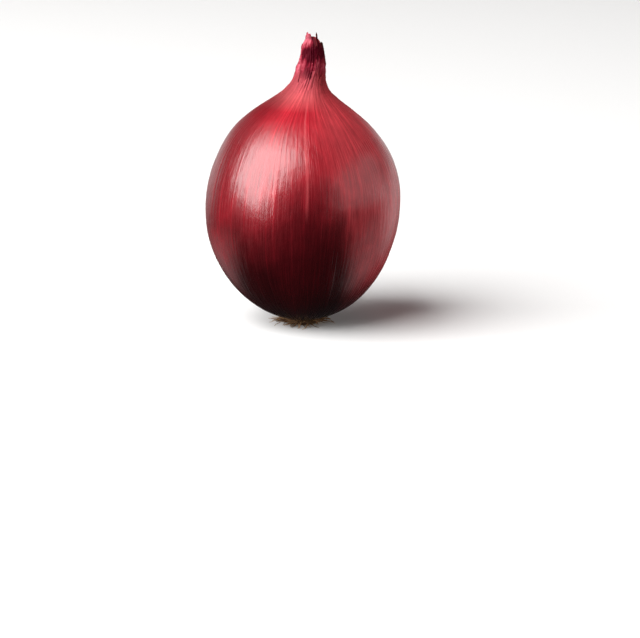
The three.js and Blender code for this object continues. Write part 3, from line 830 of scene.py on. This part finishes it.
def cork_material(colours):
    """Dried corky tissue: dull and pitted, pale in the middle and dark brown where it wears at the edge."""
    material, tree = new_material("Dried corky tissue")
    place = add_node(tree, "ShaderNodeTexCoord")["Object"]
    across = add_node(tree, VECTOR, [place, (AXIS.x, AXIS.y, 0)], operation="SUBTRACT")[0]
    flat = add_node(tree, VECTOR, [across, (1, 1, 0)], operation="MULTIPLY")[0]
    radius = add_node(tree, VECTOR, [flat], operation="LENGTH")["Value"]
    # Pits of about 0.8 mm, where roots fell off, in crumbs of 0.6 mm
    pit = add_node(tree, "ShaderNodeTexVoronoi", {"Vector": place, "Scale": 1 / (0.8 * MM)})["Distance"]
    crumb = add_node(tree, NOISE, {"Vector": place, "Scale": 1 / (0.6 * MM), "Detail": 4.0})[0]
    edge = add_node(tree, RANGE, [radius, 0.55 * PLATE_RADIUS, 1.02 * PLATE_RADIUS, 0.0, 0.75])[0]
    worn = add_node(tree, MATH, [crumb, 0.6, edge], operation="MULTIPLY_ADD")[0]
    cork = tint(tree, colours.plate, colours.plate_edge, worn, 0.3, 1.0)
    colour = darken(tree, cork, pit, 0.05, 0.5, 0.45, 1.1)
    relief = add_node(tree, MATH, [pit, 0.8, crumb], operation="MULTIPLY_ADD")[0]
    finish_material(
        tree, {"Base Color": colour, "Roughness": 0.85, "IOR": 1.4}, relief, strength=0.9, depth=0.3 * MM)
    return material


def root_material(colours):
    """Dried root thread: dull and straw-coloured, each its own shade, with specks of 1.2 mm."""
    material, tree = new_material("Dried root thread")
    place = add_node(tree, "ShaderNodeTexCoord")["Object"]
    tone = add_node(tree, "ShaderNodeAttribute", attribute_name="tone")["Fac"]
    speck = add_node(tree, NOISE, {"Vector": place, "Scale": 1 / (1.2 * MM), "Detail": 3.0})[0]
    shade = add_node(tree, MATH, [speck, 0.6, tone], operation="MULTIPLY_ADD")[0]
    colour = tint(tree, colours.root, colours.plate_edge, shade, 0.3, 1.3)
    finish_material(
        tree, {"Base Color": colour, "Roughness": 0.7, "IOR": 1.4}, speck, strength=0.5, depth=0.1 * MM)
    return material


def board_material(colour):
    """Matt painted board: plain and pale."""
    material, tree = new_material("Matt painted board")
    finish_material(tree, {"Base Color": colour, "Roughness": 0.8, "IOR": 1.45})
    return material


# Operators


class ONION_OT_bulb(bpy.types.Operator):
    """Builds the papery globe with its pleated neck"""

    bl_idname = "onion.bulb"
    bl_label = "Bulb"

    def execute(self, context):
        scene = context.scene
        bulb = build_bulb(scene.onion_shape, scene.onion_relief)
        tree = vein_tree(tunic_material(scene.onion_shape, scene.onion_colours))
        bake_nodes(bulb, tree, {
            "Vein count": scene.onion_relief.veins, "Vein height": scene.onion_relief.vein_height,
            "Wander": 0.9, "Seed": 5.0})
        finish_piece(bulb, "skin", "bulb")
        return {"FINISHED"}


class ONION_OT_sheaths(bpy.types.Operator):
    """Builds the torn leaf sheaths round the neck"""

    bl_idname = "onion.sheaths"
    bl_label = "Torn sheaths"

    def execute(self, context):
        scene = context.scene
        shape, colours = scene.onion_shape, scene.onion_colours
        # The outermost is the bulb's own skin, and its material too
        tunic = bpy.data.materials.get("Dry onion tunic") or tunic_material(shape, colours)
        dried = sheath_material(shape, colours)
        for sheath, material in zip(SHEATHS, (tunic, dried, dried)):
            made = build_sheath(shape, scene.onion_relief, **sheath)
            made.data.materials.append(material)
            finish_piece(made, "skin")
        return {"FINISHED"}


class ONION_OT_root_plate(bpy.types.Operator):
    """Builds the corky plate that the onion stands on"""

    bl_idname = "onion.root_plate"
    bl_label = "Root plate"

    def execute(self, context):
        plate = build_plate()
        plate.data.materials.append(cork_material(context.scene.onion_colours))
        finish_piece(plate, "root", "root_plate")
        return {"FINISHED"}


class ONION_OT_roots(bpy.types.Operator):
    """Scatters the dried roots round the plate"""

    bl_idname = "onion.roots"
    bl_label = "Dried roots"

    def execute(self, context):
        roots = context.scene.onion_roots
        tuft = make_object("dried_roots", [(0, 0, 0)], [])
        bake_nodes(tuft, root_tree(root_material(context.scene.onion_colours)), {
            "Count": roots.count, "Length": roots.length, "Thickness": roots.thickness,
            "Plate radius": PLATE_RADIUS, "Middle": (AXIS.x, AXIS.y, 0), "Seed": 3})
        finish_piece(tuft, "root")
        return {"FINISHED"}


FLOOR_HALF = 4.0
LIGHT_DISTANCE = 2.2
SENSOR_WIDTH = 36
AXIS_COLUMN = 302.8  # pixel column of the onion's axis in the photograph's frame
BASE_ROW = 319.5  # pixel row of its lowest visible outline
AIM_ROWS = 2  # pixel rows that the camera aims above it
FRAME_WIDTH, FRAME_HEIGHT = 640, 638
BAND = ((0, 1, 0), (0.5, 0.85), (0.3, 0.05), 1.0)  # behind the onion, above the horizon and below it
# Pale cards that the skin reflects: direction, how well a ray has to point there from none to full, the
# ray's height from none to full, and strength. The first is full at every height.
CARDS = [
    ((0.8, 0.1, -0.59), (0.88, 0.985), (2.0, 1.0), 0.5),  # low on the right
    ((-0.81, 0.59, 0), (0.68, 0.85), (-0.25, -0.4), 0.375),  # low on the left, behind
    ((0.78, 0.63, 0), (0.84, 0.95), (0.15, -0.05), 1.0),  # along the right edge
]


class ONION_OT_stage(bpy.types.Operator):
    """Sets up the floor, the light and the camera"""

    bl_idname = "onion.stage"
    bl_label = "Stage"

    def execute(self, context):
        stage = context.scene.onion_stage
        corners = [(x * FLOOR_HALF, y * FLOOR_HALF, 0) for x, y in ((-1, -1), (1, -1), (1, 1), (-1, 1))]
        floor = make_object("floor", corners, [(0, 1, 2, 3)])
        floor.data.materials.append(board_material(stage.floor))
        # The floor would lie as a grey veil on the dark, glossy lower half, and the photograph has none
        floor.visible_glossy = False
        floor.visible_diffuse = False

        self.add_room(context.scene, stage)
        middle = Vector((AXIS.x, AXIS.y, HEIGHT / 2))
        self.add_light("key_light", middle, (-0.70, -0.37, 0.62), (2.58, 3.14), -20, stage.key)
        self.add_light("side_light", middle, (0.96, -0.28, 0.29), (3.6, 1.6), 0, stage.card)
        fill = self.add_light("fill_light", middle, (0.9, 0.4, 0.03), (2.0, 0.2), 0, stage.fill)
        # It lifts the shadow side, and the skin shows no reflection of it
        fill.visible_glossy = False
        fill.visible_camera = False

        data = bpy.data.cameras.new("camera")
        data.sensor_width = SENSOR_WIDTH
        data.lens = SENSOR_WIDTH * stage.distance / (FRAME_WIDTH * stage.pixel)
        camera = bpy.data.objects.new("camera", data)
        back = Vector((0, -math.cos(stage.elevation), math.sin(stage.elevation)))
        camera.location = middle + stage.distance * back
        aim = Vector((AXIS.x + (FRAME_WIDTH / 2 - AXIS_COLUMN) * stage.pixel, AXIS.y,
                      (BASE_ROW - FRAME_HEIGHT / 2 + AIM_ROWS) * stage.pixel))
        camera.rotation_euler = (aim - camera.location).to_track_quat("-Z", "Y").to_euler()
        context.scene.collection.objects.link(camera)
        context.scene.camera = camera
        context.scene.view_settings.view_transform = "Standard"
        return {"FINISHED"}

    def add_room(self, scene, stage):
        """A dim room with a pale band behind the onion and a few pale cards."""
        world = bpy.data.worlds.new("Room")
        world.use_nodes = True
        tree = world.node_tree
        tree.nodes.clear()
        way = add_node(tree, "ShaderNodeTexCoord")["Generated"]
        height = add_node(tree, SPLIT, [way])[2]
        level = add_node(tree, MATH, [height], operation="ABSOLUTE")[0]
        share = self.card(tree, way, level, *BAND)
        for card in CARDS:
            share = add_node(tree, MATH, [share, self.card(tree, way, height, *card)],
                             operation="MAXIMUM")[0]
        light = add_node(tree, MATH, [share, stage.backdrop, stage.room], operation="MULTIPLY_ADD")[0]
        background = add_node(tree, "ShaderNodeBackground", {"Color": WHITE, "Strength": light})[0]
        add_node(tree, "ShaderNodeOutputWorld", {"Surface": background})
        scene.world = world

    def card(self, tree, way, height, direction, facing, heights, strength):
        """How pale the room is in a direction: soft at the sides, and limited in height."""
        dot = add_node(tree, VECTOR, [way, direction], operation="DOT_PRODUCT")["Value"]
        across = add_node(tree, RANGE, [dot, *facing], interpolation_type="SMOOTHSTEP")[0]
        return limit(tree, across, height, *heights, 0.0, strength)

    def add_light(self, name, middle, direction, size, roll, power):
        """A soft box that faces the onion from a direction, rolled by some degrees."""
        data = bpy.data.lights.new(name, "AREA")
        data.shape = "RECTANGLE"
        data.size, data.size_y = size
        data.energy = power
        light = bpy.data.objects.new(name, data)
        direction = Vector(direction)
        light.location = middle + LIGHT_DISTANCE * direction.normalized()
        facing = (-direction).to_track_quat("-Z", "Y")
        light.rotation_euler = (facing @ Quaternion((0, 0, 1), math.radians(roll))).to_euler()
        bpy.context.scene.collection.objects.link(light)
        return light


class ONION_PT_panel(bpy.types.Panel):
    """Lists the onion's pieces and its sizes"""

    bl_label = "Red onion"
    bl_idname = "ONION_PT_panel"
    bl_space_type = "VIEW_3D"
    bl_region_type = "UI"
    bl_category = "Onion"

    def draw(self, context):
        for operator in OPERATORS:
            self.layout.operator(operator.bl_idname)
        for group, cls in GROUPS.items():
            box = self.layout.box()
            for name in cls.__annotations__:
                box.prop(getattr(context.scene, group), name)


OPERATORS = [ONION_OT_bulb, ONION_OT_sheaths, ONION_OT_root_plate, ONION_OT_roots, ONION_OT_stage]
GROUPS = {
    "onion_shape": OnionShape,
    "onion_relief": OnionRelief,
    "onion_roots": OnionRoots,
    "onion_colours": OnionColours,
    "onion_stage": OnionStage,
}


def register():
    for group, cls in GROUPS.items():
        bpy.utils.register_class(cls)
        setattr(bpy.types.Scene, group, bpy.props.PointerProperty(type=cls))
    for cls in [*OPERATORS, ONION_PT_panel]:
        bpy.utils.register_class(cls)


def unregister():
    for cls in [ONION_PT_panel, *reversed(OPERATORS)]:
        bpy.utils.unregister_class(cls)
    for group, cls in reversed(GROUPS.items()):
        delattr(bpy.types.Scene, group)
        bpy.utils.unregister_class(cls)


def main():
    register()
    bpy.ops.onion.bulb()
    bpy.ops.onion.sheaths()
    bpy.ops.onion.root_plate()
    bpy.ops.onion.roots()
    bpy.ops.onion.stage()


if __name__ == "__main__":
    main()
